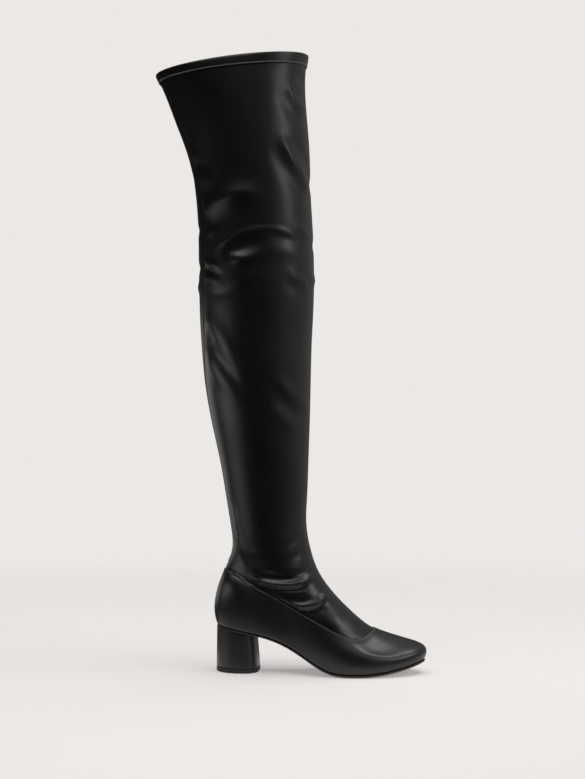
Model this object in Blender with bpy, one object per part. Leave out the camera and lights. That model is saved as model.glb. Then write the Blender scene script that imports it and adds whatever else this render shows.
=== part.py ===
"""Thigh high stretch boot with a block heel, for the right foot.

The maker joins a smooth leather foot, cut like a high backed pump, to a stretch shaft that reaches the thigh.
A folded band finishes the collar, an insole lies inside, and a thin outsole, a covered block heel and a
rubber top lift carry it.

Sizes are in millimetres and angles in degrees. The toe points to +X, the outer side of the foot to -Y and
up is +Z. The origin is the centre of the heel's resting face on the floor.
Everything is worked out from one skin: ribs that climb from the feather line, where the upper meets the
sole, to the collar. An angle names a rib: 0 at the back of the heel, 90 on the outer side, 180 at the toe.
"""

import math
from functools import lru_cache

import bmesh
import bpy
import numpy as np
from mathutils import Vector

METRES = 0.001  # one millimetre
RIBS_PER_SIDE = 22
RIB_CROWDING = 2.0  # degrees that a rib moves towards the heel, the toe or the arch
HEEL_RIBS_PER_SIDE = 10
HEEL_BREAST_RIBS = 11
HEEL_RINGS = 6
ANGLE_PROBE = 0.5  # degrees to each side, where a direction round the foot is measured
LEVEL_PROBE = 0.01
SHARP_ANGLE = 40.0

# Sole and last
SOLE_LENGTH = 233.5
HEEL_BACK = -24.0
BALL_WIDTH = 77.0
SEAT_WIDTH = 52.0
SEAT_HEIGHT = 50.7
SEAT_SLOPE = 0.2
SEAT_END = 26.0
TREAD_START = 114.0
TREAD_END = 141.0
TOE_SPRING = 13.5
TOE_SPRING_POWER = 1.8
SOLE_FORE_THICKNESS = 2.6
SOLE_SEAT_THICKNESS = 1.4
INSOLE_THICKNESS = 2.5
SOLE_INSET = 1.2

# Foot of the upper
UPPER_WALL = 1.8
LASTING_MARGIN = 10.0
FEATHER_ROUND = 2.0
FEATHER_TURN = 1.2
SKIVE_LENGTH = 1.0
COUNTER_BACK = -15.2
COUNTER_HEIGHT = 114.0
THROAT_SETBACK = 57.5
THROAT_HEIGHT = 50.7
TOP_LINE_WIDTH = 66.0

# Shaft
SHAFT_WALL = 1.2
SEAM_STEP = 0.9
SEAM_LAP = 7.0
ANKLE_BACK = -8.6
ANKLE_FRONT = 77.9
ANKLE_BACK_HEIGHT = 160.0
ANKLE_FRONT_HEIGHT = 158.0
ANKLE_WIDTH = 70.0
KNEE_BACK = -45.0
KNEE_FRONT = 85.3
KNEE_HEIGHT = 480.0
KNEE_WIDTH = 112.0
COLLAR_BACK = -93.0
COLLAR_FRONT = 79.4
COLLAR_BACK_HEIGHT = 665.0
COLLAR_FRONT_HEIGHT = 685.0
COLLAR_WIDTH = 113.6
BAND_HEIGHT = 11.0
BAND_WALL = 0.9

# Heel
BREAST = 21.5
HEEL_WIDEST = 3.0
HEEL_FLOOR_BACK = -24.0
HEEL_FLOOR_FRONT = 24.7
HEEL_FLOOR_WIDTH = 49.0
HEEL_WAIST = 0.03
HEEL_INSET = 0.6
BREAST_SQUARENESS = 3.0
TOP_LIFT = 5.0
LIFT_CHAMFER = 0.6
LIFT_CHAMFER_HEIGHT = 0.8

CLEARANCE = 0.3

# The foot's plan. Half width = seat share of SEAT_WIDTH + ball share of BALL_WIDTH, and the centre line is a
# share of BALL_WIDTH. Lean tips the upper's wall outwards at the feather line. The two handles are shares of
# the rib's length, and say how far it holds its direction at the feather line and at the top line.
FOOT_PLAN = (
    # angle, seat, ball, centre, lean, feather handle, top handle
    (0, 0.000, 0.000, 0.000, 0.40, 0.34, 0.26),
    (15, 0.260, 0.000, 0.000, 0.38, 0.34, 0.26),
    (30, 0.448, 0.000, 0.000, 0.32, 0.32, 0.28),
    (45, 0.500, 0.000, -0.003, 0.24, 0.30, 0.30),
    (60, 0.430, 0.034, -0.013, 0.18, 0.30, 0.32),
    (75, 0.250, 0.149, -0.034, 0.14, 0.32, 0.32),
    (90, 0.080, 0.353, -0.045, 0.12, 0.34, 0.32),
    (105, 0.000, 0.500, -0.038, 0.13, 0.34, 0.33),
    (120, 0.000, 0.500, -0.006, 0.16, 0.32, 0.35),
    (135, 0.000, 0.413, 0.022, 0.22, 0.27, 0.38),
    (150, 0.000, 0.292, 0.042, 0.30, 0.27, 0.48),
    (165, 0.000, 0.158, 0.056, 0.36, 0.30, 0.60),
    (180, 0.000, 0.000, 0.060, 0.38, 0.31, 0.64),
)

# The top line, where the shaft is sewn to the foot. Half width is a share of TOP_LINE_WIDTH, the centre line a
# share of BALL_WIDTH, and height runs from 0 at the throat to 1 at the counter's top.
TOP_LINE = (
    # angle, half width, centre, height
    (0, 0.000, 0.000, 1.000),
    (15, 0.160, 0.000, 1.000),
    (30, 0.292, 0.000, 0.965),
    (45, 0.385, 0.000, 0.870),
    (60, 0.440, 0.000, 0.700),
    (75, 0.462, 0.000, 0.535),
    (90, 0.479, -0.004, 0.342),
    (105, 0.500, -0.006, 0.147),
    (120, 0.512, -0.004, -0.022),
    (135, 0.485, 0.004, -0.128),
    (150, 0.371, 0.012, -0.146),
    (165, 0.197, 0.018, -0.052),
    (180, 0.000, 0.020, 0.000),
)

# The sole's underside between the seat and the tread: share of that length, share of the height left to drop.
ARCH = (
    (0.00, 1.000),
    (0.15, 0.930),
    (0.36, 0.720),
    (0.49, 0.570),
    (0.61, 0.395),
    (0.74, 0.213),
    (0.83, 0.105),
    (0.92, 0.030),
    (1.00, 0.000),
)

# The outsole's edge: inset from the feather line as a share of SOLE_INSET, and depth from its upper face, 0, to
# its lower one, 1.
SOLE_EDGE = (
    # inset, depth
    (1.00, 0.00),
    (0.33, 0.15),
    (0.50, 0.80),
    (1.00, 1.00),
)

# Sections of the shaft between two named ones. Each number is a share of the way from the lower named section
# to the upper one, at the back of the leg, at its front and across its width.
SHAFT_SECTIONS = (
    # zone, back height, back x, front height, front x, width
    ("instep", 0.070, 0.182, 0.050, 0.131, 0.000),
    ("instep", 0.209, 0.606, 0.154, 0.310, 0.050),
    ("instep", 0.430, 1.106, 0.367, 0.617, 0.200),
    ("instep", 0.674, 1.273, 0.612, 0.860, 0.650),
    ("calf", 0.092, 0.132, 0.100, 0.100, 0.095),
    ("calf", 0.234, 0.338, 0.240, 0.260, 0.324),
    ("calf", 0.374, 0.613, 0.379, 0.520, 0.595),
    ("calf", 0.516, 0.819, 0.519, 0.685, 0.786),
    ("calf", 0.656, 0.931, 0.658, 0.820, 0.905),
    ("calf", 0.828, 0.986, 0.829, 1.200, 0.990),
    ("thigh", 0.245, 0.046, 0.224, 0.43, 0.0),
    ("thigh", 0.484, 0.211, 0.448, 0.556, 0.2),
    ("thigh", 0.713, 0.541, 0.681, 1.22, 0.5),
    ("thigh", 0.894, 0.812, 0.876, 1.55, 0.9),
)
STEPS_PER_SECTION = 2


def slopes_through(stations, values):
    """Slope at each station of a curve through values: the line through its two neighbours."""
    inner = (values[2:] - values[:-2]) / (stations[2:] - stations[:-2]).reshape(-1, *[1] * (values.ndim - 1))
    first = (values[1] - values[0]) / (stations[1] - stations[0])
    last = (values[-1] - values[-2]) / (stations[-1] - stations[-2])
    return np.concatenate([[1.5 * first - 0.5 * inner[0]], inner, [1.5 * last - 0.5 * inner[-1]]])


def along(stations, values, slopes, at):
    """Value at one place of the cubic curve through values with those slopes."""
    index = int(np.clip(np.searchsorted(stations, at) - 1, 0, len(stations) - 2))
    span = stations[index + 1] - stations[index]
    t = (at - stations[index]) / span
    return (
        (2 * t**3 - 3 * t**2 + 1) * values[index]
        + (t**3 - 2 * t**2 + t) * span * slopes[index]
        + (3 * t**2 - 2 * t**3) * values[index + 1]
        + (t**3 - t**2) * span * slopes[index + 1]
    )


def mirrored_column(rows, column, odd):
    """(stations, values, slopes) of one column of an angle table, carried on past 0 and 180 degrees."""
    stations = np.array([row[0] for row in rows], float)
    values = np.array([row[column] for row in rows], float)
    sign = -1 if odd else 1
    stations = np.concatenate([-stations[2:0:-1], stations, 360 - stations[-2:-4:-1]])
    values = np.concatenate([sign * values[2:0:-1], values, sign * values[-2:-4:-1]])
    return stations, values, slopes_through(stations, values)


SEAT_SHARE = mirrored_column(FOOT_PLAN, 1, odd=True)
BALL_SHARE = mirrored_column(FOOT_PLAN, 2, odd=True)
FOOT_CENTRE = mirrored_column(FOOT_PLAN, 3, odd=False)
LEAN = mirrored_column(FOOT_PLAN, 4, odd=False)
FEATHER_HANDLE = mirrored_column(FOOT_PLAN, 5, odd=False)
TOP_HANDLE = mirrored_column(FOOT_PLAN, 6, odd=False)
TOP_WIDTH = mirrored_column(TOP_LINE, 1, odd=True)
TOP_CENTRE = mirrored_column(TOP_LINE, 2, odd=False)
TOP_HEIGHT = mirrored_column(TOP_LINE, 3, odd=False)


def half_turn(angle):
    """(angle from 0 to 180, side): the rib's place on its own side of the foot, -1 outer and 1 inner."""
    angle = angle % 360
    return (angle, -1) if angle <= 180 else (360 - angle, 1)


def run_share(angle):
    """How far from back to front a rib stands, as a share of the ring's length."""
    return (1 - math.cos(math.radians(angle))) / 2


def seat_line(x):
    return SEAT_HEIGHT - SEAT_SLOPE * (x - HEEL_BACK)


def underside(x):
    """Height of the outsole's lower face: straight seat, arch, flat tread and toe spring."""
    if x <= SEAT_END:
        return seat_line(x)
    if x < TREAD_START:
        arch_length = TREAD_START - SEAT_END
        stations = np.array([row[0] for row in ARCH])
        values = np.array([row[1] for row in ARCH])
        slopes = slopes_through(stations, values)
        slopes[0] = -SEAT_SLOPE * arch_length / seat_line(SEAT_END)
        slopes[-1] = 0
        return seat_line(SEAT_END) * along(stations, values, slopes, (x - SEAT_END) / arch_length)
    if x <= TREAD_END:
        return 0.0
    toe = (x - TREAD_END) / (HEEL_BACK + SOLE_LENGTH - TREAD_END)
    return TOE_SPRING * toe**TOE_SPRING_POWER


def sole_thickness(x):
    share = min(max((x - SEAT_END) / (TREAD_START - SEAT_END), 0), 1)
    return SOLE_SEAT_THICKNESS + (SOLE_FORE_THICKNESS - SOLE_SEAT_THICKNESS) * share


def bed(x):
    """Height of the face on which the upper's lasting margin lies."""
    return underside(x) + sole_thickness(x) + CLEARANCE


def plan_edge(angle):
    """Plan position of the feather line, with no height."""
    place, side = half_turn(angle)
    half = SEAT_WIDTH * along(*SEAT_SHARE, place) + BALL_WIDTH * along(*BALL_SHARE, place)
    centre = BALL_WIDTH * along(*FOOT_CENTRE, place)
    return np.array([HEEL_BACK + SOLE_LENGTH * run_share(place), centre + side * half, 0.0])


def plan_outward(angle):
    """Level direction that points out of the foot at the feather line."""
    step = plan_edge(angle + ANGLE_PROBE) - plan_edge(angle - ANGLE_PROBE)
    outward = np.array([step[1], -step[0], 0.0])
    return outward / np.linalg.norm(outward)


def bed_point(angle, inset, lift=0.0):
    """A point inset from the feather line, lift above the bed."""
    point = plan_edge(angle) - inset * plan_outward(angle)
    point[2] = bed(point[0]) + lift
    return point


def top_line_point(angle):
    place, side = half_turn(angle)
    throat = HEEL_BACK + SOLE_LENGTH - THROAT_SETBACK
    x = COUNTER_BACK + (throat - COUNTER_BACK) * run_share(place)
    y = BALL_WIDTH * along(*TOP_CENTRE, place) + side * TOP_LINE_WIDTH * along(*TOP_WIDTH, place)
    z = THROAT_HEIGHT + (COUNTER_HEIGHT - THROAT_HEIGHT) * along(*TOP_HEIGHT, place)
    return np.array([x, y, z])


def named_sections():
    """Back height, back x, front height, front x and width of the shaft's named sections."""
    throat = HEEL_BACK + SOLE_LENGTH - THROAT_SETBACK
    return {
        "top line": np.array([COUNTER_HEIGHT, COUNTER_BACK, THROAT_HEIGHT, throat, TOP_LINE_WIDTH]),
        "ankle": np.array([ANKLE_BACK_HEIGHT, ANKLE_BACK, ANKLE_FRONT_HEIGHT, ANKLE_FRONT, ANKLE_WIDTH]),
        "knee": np.array([KNEE_HEIGHT, KNEE_BACK, KNEE_HEIGHT, KNEE_FRONT, KNEE_WIDTH]),
        "collar": np.array([COLLAR_BACK_HEIGHT, COLLAR_BACK, COLLAR_FRONT_HEIGHT, COLLAR_FRONT, COLLAR_WIDTH]),
    }


def shaft_sections():
    """Every section of the shaft above the top line, in order, in the columns of named_sections."""
    named = named_sections()
    zones = {"instep": ("top line", "ankle"), "calf": ("ankle", "knee"), "thigh": ("knee", "collar")}
    sections = []
    for zone, (lower, upper) in zones.items():
        for row in SHAFT_SECTIONS:
            if row[0] == zone:
                sections.append(named[lower] + np.array(row[1:]) * (named[upper] - named[lower]))
        sections.append(named[upper])
    return sections


SECTIONS = shaft_sections()
SECTION_COUNT = len(SECTIONS)


def section_point(section, angle):
    """A point of one tilted, oval section of the shaft."""
    back_height, back, front_height, front, width = section
    share = run_share(half_turn(angle)[0])
    return np.array([
        back + (front - back) * share,
        -width / 2 * math.sin(math.radians(angle)),
        back_height + (front_height - back_height) * share,
    ])


def section_stations():
    """Mean distance up the shaft of each section, from the top line."""
    rings = [[top_line_point(a) for a in range(0, 360, 30)]]
    rings += [[section_point(section, a) for a in range(0, 360, 30)] for section in SECTIONS]
    steps = [np.mean(np.linalg.norm(np.array(b) - np.array(a), axis=1)) for a, b in zip(rings, rings[1:])]
    return np.concatenate([[0], np.cumsum(steps)])


STATIONS = section_stations()


@lru_cache(maxsize=None)
def shaft_rib(angle):
    """(points, slopes) of one rib of the shaft, from the top line to the collar."""
    points = np.array([top_line_point(angle)] + [section_point(section, angle) for section in SECTIONS])
    return points, slopes_through(STATIONS, points)


@lru_cache(maxsize=None)
def foot_rib(angle):
    """The four control points of one rib of the foot, from the feather line to the top line."""
    place = half_turn(angle)[0]
    low = bed_point(angle, 0, FEATHER_ROUND)
    points, slopes = shaft_rib(angle)
    high = points[0]
    length = np.linalg.norm(high - low)
    rise = np.array([0, 0, 1.0]) + along(*LEAN, place) * plan_outward(angle)
    arrive = slopes[0] / np.linalg.norm(slopes[0])
    return (
        low,
        low + rise * length * along(*FEATHER_HANDLE, place),
        high - arrive * length * along(*TOP_HANDLE, place),
        high,
    )


def foot_rib_length(angle):
    low, low_handle, high_handle, high = foot_rib(angle)
    shares = np.linspace(0, 1, 13)[:, None]
    points = bezier(low, low_handle, high_handle, high, shares)
    return float(np.linalg.norm(np.diff(points, axis=0), axis=1).sum())


def bezier(a, b, c, d, t):
    return (1 - t) ** 3 * a + 3 * (1 - t) ** 2 * t * b + 3 * (1 - t) * t**2 * c + t**3 * d


def skin(angle, level):
    """A point of the boot's outer skin. Level 0 is the feather line, 1 the top line, and each section of the
    shaft adds one, up to the collar."""
    if level <= 1:
        return bezier(*foot_rib(angle), level)
    place = min(level - 1, SECTION_COUNT)
    index = min(int(place), SECTION_COUNT - 1)
    distance = STATIONS[index] + (place - index) * (STATIONS[index + 1] - STATIONS[index])
    return along(STATIONS, *shaft_rib(angle), distance)


def skin_normal(angle, level):
    """Direction out of the skin."""
    around = skin(angle + ANGLE_PROBE, level) - skin(angle - ANGLE_PROBE, level)
    low, high = max(level - LEVEL_PROBE, 0), min(level + LEVEL_PROBE, SECTION_COUNT + 1)
    up = skin(angle, high) - skin(angle, low)
    normal = np.cross(around, up)
    return normal / np.linalg.norm(normal)


def off_skin(angle, level, out):
    return skin(angle, level) + out * skin_normal(angle, level)


def rib_angles():
    """Angles of all ribs, closer together at the heel, the toe and the arch, where the rings turn most."""
    angles = []
    for index in range(2 * RIBS_PER_SIDE):
        share = index / (2 * RIBS_PER_SIDE)
        angles.append(360 * share - RIB_CROWDING * math.sin(8 * math.pi * share))
    return angles


ANGLES = rib_angles()


def ring(point_at):
    return [point_at(angle) for angle in ANGLES]


def skin_ring(level, out):
    return ring(lambda angle: off_skin(angle, level, out))


def below_top_line(drop, out):
    """Ring on the foot, at a fixed distance under the top line."""
    return ring(lambda angle: off_skin(angle, 1 - drop / foot_rib_length(angle), out))


def below_collar(drop, out):
    """Ring at a fixed distance under the collar's edge, or above it where drop is negative."""
    top = SECTION_COUNT + 1
    last = STATIONS[-1] - STATIONS[-2]
    if drop >= 0:
        return skin_ring(top - drop / last, out)

    def point_at(angle):
        edge = skin(angle, top)
        up = edge - skin(angle, top - LEVEL_PROBE)
        return off_skin(angle, top, out) - drop * up / np.linalg.norm(up)

    return ring(point_at)


def make_material(name, colour, roughness):
    material = bpy.data.materials.new(name)
    material.use_nodes = True
    shader = material.node_tree.nodes["Principled BSDF"]
    shader.inputs["Base Color"].default_value = (*colour, 1)
    shader.inputs["Roughness"].default_value = roughness
    shader.inputs["Metallic"].default_value = 0
    material.diffuse_color = (*colour, 1)
    return material


def make_piece(name, rings, closed, material, collection, parent):
    """One named object lofted through rings of points. A closed loft joins its last ring to its first, as a
    hollow wall does. An open one gets a cap of strips from side to side at each end. Each face between rings is
    split from its lower toeward corner to its upper heelward one, so pieces that nest don't cross."""
    origin = np.mean([point for points in rings for point in points], axis=0)
    mesh = bmesh.new()
    loops = [[mesh.verts.new(Vector((p - origin) * METRES)) for p in points] for points in rings]
    count = len(loops[0])
    pairs = list(zip(loops, loops[1:] + loops[:1])) if closed else list(zip(loops, loops[1:]))
    for first, second in pairs:
        rises = sum(v.co.z for v in second) >= sum(v.co.z for v in first)
        low, high = (first, second) if rises else (second, first)
        for i in range(count):
            j = (i + 1) % count
            heelward, toeward = (i, j) if i < count // 2 else (j, i)
            mesh.faces.new((low[heelward], low[toeward], high[heelward]))
            mesh.faces.new((high[toeward], high[heelward], low[toeward]))
    if not closed:
        for loop in (loops[0], loops[-1]):
            add_cap(mesh, loop)
    bmesh.ops.recalc_face_normals(mesh, faces=mesh.faces)
    data = bpy.data.meshes.new(name)
    mesh.to_mesh(data)
    mesh.free()
    data.shade_smooth()
    data.set_sharp_from_angle(angle=math.radians(SHARP_ANGLE))
    data.materials.append(material)
    piece = bpy.data.objects.new(name, data)
    piece.location = Vector(origin * METRES)
    piece.parent = parent
    collection.objects.link(piece)
    return piece


def add_cap(mesh, loop):
    """Closes a loop that is even from side to side with strips between facing points."""
    count = len(loop)
    mesh.faces.new((loop[0], loop[1], loop[-1]))
    for i in range(1, count // 2 - 1):
        mesh.faces.new((loop[i], loop[i + 1], loop[count - i - 1], loop[count - i]))
    mesh.faces.new((loop[count // 2 - 1], loop[count // 2], loop[count // 2 + 1]))


FOOT_LEVELS = (0.08, 0.16, 0.24, 0.33, 0.44, 0.56, 0.68)


def upper_rings():
    """The foot: outer wall from the lasting margin to the top line, then down the inner wall. The wall is
    skived where it laps the shaft."""
    skived = SEAM_STEP - CLEARANCE
    lap = SEAM_LAP + CLEARANCE
    lasting = ring(lambda a: bed_point(a, LASTING_MARGIN))
    turn = ring(lambda a: bed_point(a, FEATHER_TURN))
    outer = [skin_ring(level, 0) for level in (0, *FOOT_LEVELS)]
    outer += [below_top_line(drop, 0) for drop in (lap + SKIVE_LENGTH, lap / 2)]
    edge = [skin_ring(1, 0), skin_ring(1, -skived), below_top_line(lap / 2, -skived), below_top_line(lap, -skived)]
    inner = [below_top_line(lap + SKIVE_LENGTH, -UPPER_WALL)]
    inner += [skin_ring(level, -UPPER_WALL) for level in reversed(FOOT_LEVELS)]
    foot = [
        ring(lambda a: bed_point(a, UPPER_WALL, UPPER_WALL)),
        ring(lambda a: bed_point(a, LASTING_MARGIN, UPPER_WALL)),
    ]
    return [lasting, turn, *outer, *edge, *inner, *foot]


def shaft_levels():
    count = SECTION_COUNT * STEPS_PER_SECTION
    return [1 + SECTION_COUNT * step / count for step in range(count + 1)]


def shaft_rings():
    """The shaft's wall, from its lap under the foot's edge up to the collar and down its inner face."""
    face, back = -SEAM_STEP, -SEAM_STEP - SHAFT_WALL
    lap = [SEAM_LAP, SEAM_LAP / 2]
    outer = [below_top_line(drop, face) for drop in lap] + [skin_ring(level, face) for level in shaft_levels()]
    inner = [below_top_line(drop, back) for drop in lap] + [skin_ring(level, back) for level in shaft_levels()]
    return outer + inner[::-1]


def band_rings():
    """The collar band: a strip folded over the shaft's top edge, with an outer and an inner leg."""
    face = -SEAM_STEP + CLEARANCE
    back = -SEAM_STEP - SHAFT_WALL - CLEARANCE
    top = -CLEARANCE - BAND_WALL
    return [
        below_collar(BAND_HEIGHT, face),
        below_collar(BAND_HEIGHT, face + BAND_WALL),
        below_collar(BAND_HEIGHT / 2, face + BAND_WALL),
        below_collar(0, face + BAND_WALL),
        below_collar(top, face),
        below_collar(top, back),
        below_collar(0, back - BAND_WALL),
        below_collar(BAND_HEIGHT / 2, back - BAND_WALL),
        below_collar(BAND_HEIGHT, back - BAND_WALL),
        below_collar(BAND_HEIGHT, back),
        below_collar(BAND_HEIGHT / 2, back),
        below_collar(-CLEARANCE, back),
        below_collar(-CLEARANCE, face),
        below_collar(BAND_HEIGHT / 2, face),
    ]


def insole_rings():
    """Insole: lies on the lasting margin, and its middle fills the opening inside the margin."""
    side = UPPER_WALL + 2 * CLEARANCE
    low = UPPER_WALL + CLEARANCE
    return [
        ring(lambda a: bed_point(a, LASTING_MARGIN + CLEARANCE)),
        ring(lambda a: bed_point(a, LASTING_MARGIN + CLEARANCE, low)),
        ring(lambda a: bed_point(a, side, low)),
        ring(lambda a: bed_point(a, side, low + INSOLE_THICKNESS)),
        ring(lambda a: bed_point(a, LASTING_MARGIN, low + INSOLE_THICKNESS)),
    ]


def sole_point(angle, inset, depth):
    """A point of the outsole: depth 0 is its upper face and 1 its lower face."""
    point = plan_edge(angle) - inset * plan_outward(angle)
    point[2] = underside(point[0]) + (1 - depth) * sole_thickness(point[0])
    return point


def outsole_rings():
    edge = [(share * SOLE_INSET, depth) for share, depth in SOLE_EDGE]
    stations = [(LASTING_MARGIN, 0), *edge, (LASTING_MARGIN, 1)]
    return [ring(lambda a, inset=inset, depth=depth: sole_point(a, inset, depth)) for inset, depth in stations]


def heel_outline():
    """The heel's outline in its own shares of length and half width. It follows the sole's edge round the back
    to its widest place, then rounds the corners of the breast."""
    corner = math.degrees(math.acos(1 - 2 * (HEEL_WIDEST - HEEL_BACK) / SOLE_LENGTH))
    half = abs(plan_edge(corner)[1])
    outline = []
    for index in range(2 * HEEL_RIBS_PER_SIDE + 1):
        angle = corner * (index / HEEL_RIBS_PER_SIDE - 1)
        x, y, _ = plan_edge(angle)
        outline.append(((x - HEEL_BACK) / (BREAST - HEEL_BACK), y / half))
    for index in range(1, HEEL_BREAST_RIBS + 1):
        turn = math.pi * index / (HEEL_BREAST_RIBS + 1)
        forward = math.sin(turn) ** (2 / BREAST_SQUARENESS)
        across = math.copysign(abs(math.cos(turn)) ** (2 / BREAST_SQUARENESS), math.cos(turn))
        x = HEEL_WIDEST + (BREAST - HEEL_WIDEST) * forward
        outline.append(((x - HEEL_BACK) / (BREAST - HEEL_BACK), -across))
    return outline, half


HEEL_OUTLINE, HEEL_HALF_WIDTH = heel_outline()


def heel_ring(share, inset=0.0, height=None):
    """The heel's outline at a share of its height, 0 under the seat and 1 at the floor."""
    back = HEEL_BACK + HEEL_INSET + (HEEL_FLOOR_BACK - HEEL_BACK - HEEL_INSET) * share + inset
    front = BREAST + (HEEL_FLOOR_FRONT - BREAST) * share - inset
    waist = 1 - HEEL_WAIST * math.sin(math.pi * share)
    top_half = HEEL_HALF_WIDTH - HEEL_INSET
    half = (top_half + (HEEL_FLOOR_WIDTH / 2 - top_half) * share) * waist - inset
    points = []
    for lengthwise, across in HEEL_OUTLINE:
        x = back + lengthwise * (front - back)
        top = underside(x) - CLEARANCE
        low = TOP_LIFT + CLEARANCE
        z = low + (top - low) * (1 - share) if height is None else height
        points.append(np.array([x, across * half, z]))
    return points


def clear_scene():
    for obj in list(bpy.data.objects):
        bpy.data.objects.remove(obj)


def main():
    clear_scene()
    collection = bpy.data.collections.new("thigh_high_boot")
    bpy.context.scene.collection.children.link(collection)
    boot = bpy.data.objects.new("boot", None)
    collection.objects.link(boot)

    calf_leather = make_material("calf_leather", (0.012, 0.012, 0.013), 0.38)
    stretch_leather = make_material("stretch_leather", (0.009, 0.009, 0.010), 0.34)
    lining_leather = make_material("insole_leather", (0.030, 0.027, 0.025), 0.60)
    sole_leather = make_material("sole_leather", (0.016, 0.014, 0.013), 0.50)
    lift_rubber = make_material("lift_rubber", (0.010, 0.010, 0.010), 0.70)

    def piece(name, rings, closed, material):
        return make_piece(name, rings, closed, material, collection, boot)

    piece("upper", upper_rings(), True, calf_leather)
    piece("shaft", shaft_rings(), True, stretch_leather)
    piece("collar_band", band_rings(), True, stretch_leather)
    piece("insole", insole_rings(), False, lining_leather)
    piece("outsole", outsole_rings(), False, sole_leather)
    piece("heel", [heel_ring(ring / (HEEL_RINGS - 1)) for ring in range(HEEL_RINGS)], False, calf_leather)
    lift = [heel_ring(1, 0, TOP_LIFT), heel_ring(1, 0, LIFT_CHAMFER_HEIGHT), heel_ring(1, LIFT_CHAMFER, 0)]
    piece("top_lift", lift, False, lift_rubber)


main()
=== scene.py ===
# %% [markdown]
# A thigh high stretch boot, dressed for its picture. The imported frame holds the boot's true construction:
# foot, shaft, collar band, insole, outsole, heel and lift. Those solids are right in size and shape but
# plain, so this lesson lays a fine skin over each of them, presses the folds of worn leather into it, sews
# it, and gives every surface its own finish and light. Lengths are written in millimetres, because that is
# how a shoemaker thinks, and turned to metres where used.

import math

import bmesh
import bpy
import numpy as np
from mathutils import Matrix, Vector, noise
from mathutils.bvhtree import BVHTree


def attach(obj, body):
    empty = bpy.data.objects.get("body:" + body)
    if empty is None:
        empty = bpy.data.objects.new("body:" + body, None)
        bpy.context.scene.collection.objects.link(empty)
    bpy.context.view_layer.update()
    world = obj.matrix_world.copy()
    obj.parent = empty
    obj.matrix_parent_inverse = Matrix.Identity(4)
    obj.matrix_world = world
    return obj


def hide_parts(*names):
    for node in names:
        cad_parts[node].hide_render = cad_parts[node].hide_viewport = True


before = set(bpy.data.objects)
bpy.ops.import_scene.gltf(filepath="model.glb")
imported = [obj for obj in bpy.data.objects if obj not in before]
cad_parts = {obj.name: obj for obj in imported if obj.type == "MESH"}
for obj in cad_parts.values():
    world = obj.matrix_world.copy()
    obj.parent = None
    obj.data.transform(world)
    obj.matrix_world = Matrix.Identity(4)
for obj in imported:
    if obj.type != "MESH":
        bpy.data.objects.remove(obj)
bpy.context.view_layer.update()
MM = 0.001
print("nodes in the frame:", sorted(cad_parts))

# %% [markdown]
# The camera comes first, because everything after it is judged through it.
# The photo is a side view from a little in front of the boot, taken level from about half its height, so the
# heel's floor line and the collar both curve gently. A long lens from 1.75 m gives that flat perspective.
# It could be aimed with a Track To constraint, but two angles say plainly how a level camera stands.

# %% The camera
IMAGE_HEIGHT_PX = 779
MM_PER_PIXEL = 1.12
CAMERA_DISTANCE = 1750
CAMERA_HEIGHT = 314
CAMERA_TURN = math.radians(6)
AIM_ALONG_VIEW = 61
SENSOR = 36

right = Vector((math.cos(CAMERA_TURN), math.sin(CAMERA_TURN), 0))
forward = Vector((-math.sin(CAMERA_TURN), math.cos(CAMERA_TURN), 0))
camera_data = bpy.data.cameras.new("camera")
camera_data.sensor_fit = "VERTICAL"
camera_data.sensor_height = SENSOR
camera_data.lens = SENSOR * CAMERA_DISTANCE / MM_PER_PIXEL / IMAGE_HEIGHT_PX
camera = bpy.data.objects.new("camera", camera_data)
camera.location = (right * AIM_ALONG_VIEW - forward * CAMERA_DISTANCE) * MM
camera.location.z = CAMERA_HEIGHT * MM
camera.rotation_euler = (math.pi / 2, 0, CAMERA_TURN)
bpy.context.scene.collection.objects.link(camera)
bpy.context.scene.camera = camera
print("lens", round(camera_data.lens, 1), "mm at", [round(v, 3) for v in camera.location])

# %% [markdown]
# A CAD node arrives as loose triangles. A smooth skin needs a cage of quads, so a copy is welded and its
# triangles are paired again. The Subdivision Surface modifier then turns the cage into the soft surface that
# leather has over a last. Modelling the boot a second time would only bring errors, and the frame itself is
# never touched.

# %% From a CAD node to a fine skin
WELD = 0.01  # vertices closer than this are one


def cage_of(node):
    """A bmesh copy of a CAD node, welded, with its triangles paired to quads."""
    cage = bmesh.new()
    cage.from_mesh(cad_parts[node].data)
    bmesh.ops.remove_doubles(cage, verts=cage.verts, dist=WELD * MM)
    bmesh.ops.join_triangles(
        cage, faces=cage.faces, angle_face_threshold=math.pi, angle_shape_threshold=math.pi
    )
    odd = sum(len(face.verts) != 4 for face in cage.faces)
    print(node, "cage:", len(cage.faces), "faces, of which not quads:", odd)
    return cage


def mesh_from(work, name):
    """A mesh from a bmesh, which is freed."""
    data = bpy.data.meshes.new(name)
    work.to_mesh(data)
    work.free()
    return data


def subdivided(work, levels):
    """The cage under a Subdivision Surface modifier, as a new bmesh."""
    data = mesh_from(work, "cage")
    helper = bpy.data.objects.new("cage", data)
    bpy.context.scene.collection.objects.link(helper)
    modifier = helper.modifiers.new("smooth", "SUBSURF")
    modifier.levels = levels
    modifier.render_levels = levels
    evaluated = helper.evaluated_get(bpy.context.evaluated_depsgraph_get())
    fine = bmesh.new()
    fine.from_mesh(evaluated.to_mesh())
    evaluated.to_mesh_clear()
    bpy.data.objects.remove(helper)
    bpy.data.meshes.remove(data)
    return fine


# %% [markdown]
# A subdivided cage is soft all over, so the edges of heel and lift are beveled first, which keeps them crisp.
# A finished mesh then becomes a piece: it gets its finish, rides on the boot's one body, and the CAD node
# that it stands for is hidden. A search tree over it lets later pieces, such as stitches, lie on it exactly.

# %% From a skin to a piece
SHARP_ANGLE = 50  # degrees between two faces


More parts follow.
